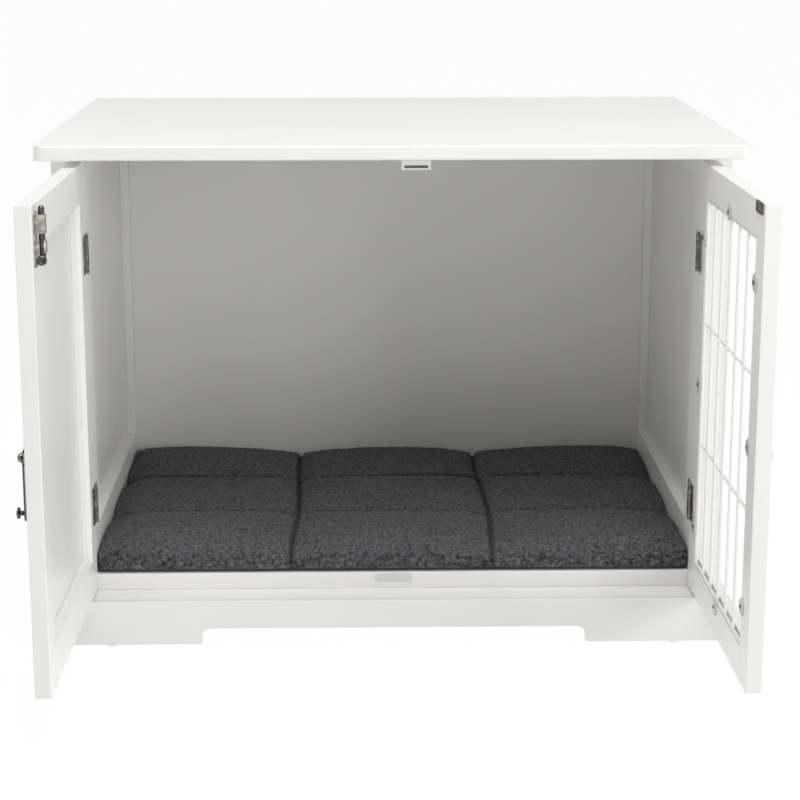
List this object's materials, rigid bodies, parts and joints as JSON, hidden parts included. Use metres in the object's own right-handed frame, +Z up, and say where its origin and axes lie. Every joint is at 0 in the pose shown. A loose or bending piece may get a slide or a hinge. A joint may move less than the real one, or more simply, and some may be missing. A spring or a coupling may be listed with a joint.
{
  "type": "pet crate",
  "caption": "White pet crate cabinet with a flat top, a panelled door, a wire-grille door and a quilted mat inside.",
  "frame": {"origin": "on the floor, under the middle of the open crate's bounding box", "axes": "+X to the right seen from the front, +Y from the door side to the back, +Z up"},
  "size_m": [0.734, 0.8004, 0.542],
  "materials": {
    "painted_board": "satin white paint",
    "white_plastic": "satin",
    "clear_plastic": "gloss",
    "white_wire": "satin",
    "nickel": "satin nickel",
    "dark_steel": "satin black",
    "fleece": "short-pile fleece"
  },
  "bodies": {
    "carcass": {"top_board": "painted_board", "front_post_left": "painted_board", "front_post_right": "painted_board", "rear_post_left": "painted_board", "rear_post_right": "painted_board", "side_low_rail_left": "painted_board", "side_low_rail_right": "painted_board", "side_high_rail_left": "painted_board", "side_high_rail_right": "painted_board", "side_panel_left": "painted_board", "side_panel_right": "painted_board", "back_panel": "painted_board", "back_low_rail": "painted_board", "back_high_rail": "painted_board", "floor_panel": "painted_board", "ledge_board": "painted_board", "plinth_front": "painted_board", "plinth_side_left": "painted_board", "plinth_side_right": "painted_board", "plinth_back": "painted_board", "foot_glides": "white_plastic", "catch_housing": "white_plastic", "catch_magnet": "dark_steel", "door_stop_pad": "white_plastic", "cabinet_hinge_leaves": "nickel", "hinge_pins": "nickel", "cabinet_hinge_screws": "nickel"},
    "left_door": {"left_hinge_stile": "painted_board", "left_meeting_stile": "painted_board", "left_high_rail": "painted_board", "left_low_rail": "painted_board", "left_door_panel": "painted_board", "left_hinge_leaves": "nickel", "left_hinge_screws": "nickel", "bolt_base": "nickel", "bolt_screws": "nickel", "latch_rose": "nickel", "latch_cap": "nickel"},
    "right_door": {"right_hinge_stile": "painted_board", "right_meeting_stile": "painted_board", "right_high_rail": "painted_board", "right_low_rail": "painted_board", "right_hinge_leaves": "nickel", "right_hinge_screws": "nickel", "wire_grille": "white_wire", "grille_clips": "clear_plastic", "grille_screws": "nickel", "strike_plate": "dark_steel", "latch_keeper": "nickel", "fitting_screws": "nickel"},
    "bolt": {"bolt_rod": "nickel"},
    "latch": {"latch_arm": "nickel"},
    "mat": {"mat": "fleece"}
  },
  "joints": [
    {"name": "left_door_hinge", "type": "hinge", "parent": "carcass", "child": "left_door", "pos_m": [-0.3215, -0.07977, 0.2875], "axis": [0, 0, 1], "range_deg": [-2.2, 90.8]},
    {"name": "right_door_hinge", "type": "hinge", "parent": "carcass", "child": "right_door", "pos_m": [0.3215, -0.07977, 0.2875], "axis": [0, 0, 1], "range_deg": [-90.8, 2.2]},
    {"name": "bolt_slide", "type": "slide", "parent": "left_door", "child": "bolt", "axis": [0, 0, 1], "range_m": [0, 0.016]},
    {"name": "latch_pivot", "type": "hinge", "parent": "left_door", "child": "latch", "pos_m": [-0.34624, -0.38296, 0.285], "axis": [-0.9999, 0.014, 0], "range_deg": [0, 90]},
    {"name": "mat_lift", "type": "slide", "parent": "carcass", "child": "mat", "axis": [0, 0, 1], "range_m": [0, 0.25]}
  ]
}
